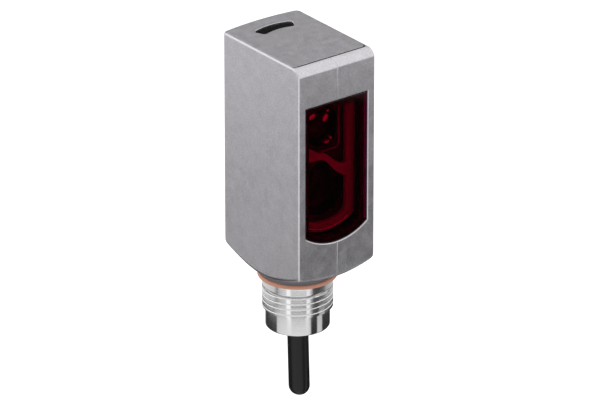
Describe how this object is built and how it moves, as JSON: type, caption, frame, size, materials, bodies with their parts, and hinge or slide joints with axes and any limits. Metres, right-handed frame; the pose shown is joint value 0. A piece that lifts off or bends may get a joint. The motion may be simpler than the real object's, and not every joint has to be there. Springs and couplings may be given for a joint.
{
  "type": "retro-reflective photoelectric sensor",
  "caption": "Slim stainless photoelectric sensor with a dark red front window, a bowed indicator slot in its top, a threaded mounting stem with a seal ring, and a short cable end.",
  "frame": {"origin": "on the axis of the threaded stem, in the plane of the housing's flat seat", "axes": "+Z along the stem's axis towards the top cover, -Y out of the red window, +X to its right as seen from the front"},
  "size_m": [0.0154, 0.0212, 0.0642],
  "materials": {
    "blasted_stainless": "fine blasted, matte grey, smooth broken edges",
    "turned_stainless": "turned bright, fine tool lines round the axis",
    "red_acrylic": "very dark clear red, glossy",
    "smoked_polycarbonate": "smoked, nearly black",
    "clear_resin": "clear, glossy",
    "polarising_film": "thin grey film, glossy",
    "grey_moulding": "satin moulded",
    "black_moulding": "matte moulded",
    "black_foam": "closed foam",
    "black_bond": "cured adhesive",
    "terracotta_rubber": "smooth moulded terracotta brown",
    "black_pvc": "smooth satin jacket",
    "dark_rubber": "moulded",
    "brass": "turned",
    "tinned_sheet": "tinned, stamped",
    "green_laminate": "coated glass fibre laminate",
    "chip_resin": "moulded chip package",
    "silicon": "polished chip",
    "ceramic_body": "fired body",
    "tantalum_body": "moulded capacitor body",
    "green_lamp": "tinted lens",
    "yellow_lamp": "tinted lens",
    "wire_brown_insulation": "satin insulation",
    "wire_blue_insulation": "satin insulation",
    "wire_black_insulation": "satin insulation",
    "wire_white_insulation": "satin insulation"
  },
  "bodies": {
    "root": {"housing": "blasted_stainless", "top_cover": "blasted_stainless", "indicator_window": "smoked_polycarbonate", "front_window": "red_acrylic", "window_bond": "black_bond", "light_gasket": "black_foam", "lens_frame": "grey_moulding", "optics_block": "black_moulding", "sender_lens": "clear_resin", "receiver_lens": "clear_resin", "sender_filter": "polarising_film", "receiver_filter": "polarising_film", "main_board": "green_laminate", "sender_led": "clear_resin", "receiver_chip": "silicon", "receiver_shield": "tinned_sheet", "status_led_green": "green_lamp", "status_led_yellow": "yellow_lamp", "controller_chip": "chip_resin", "driver_chip": "chip_resin", "surge_capacitor": "tantalum_body", "ceramic_capacitor_1": "ceramic_body", "ceramic_capacitor_2": "ceramic_body", "ceramic_capacitor_3": "ceramic_body", "ceramic_capacitor_4": "ceramic_body", "series_resistor_1": "chip_resin", "series_resistor_2": "chip_resin", "light_guide": "clear_resin", "mounting_stem": "turned_stainless", "seal_ring": "terracotta_rubber", "cable_grommet": "dark_rubber", "cable_ferrule": "brass", "cable_jacket": "black_pvc", "wire_brown": "wire_brown_insulation", "wire_blue": "wire_blue_insulation", "wire_black": "wire_black_insulation", "wire_white": "wire_white_insulation"}
  },
  "joints": []
}
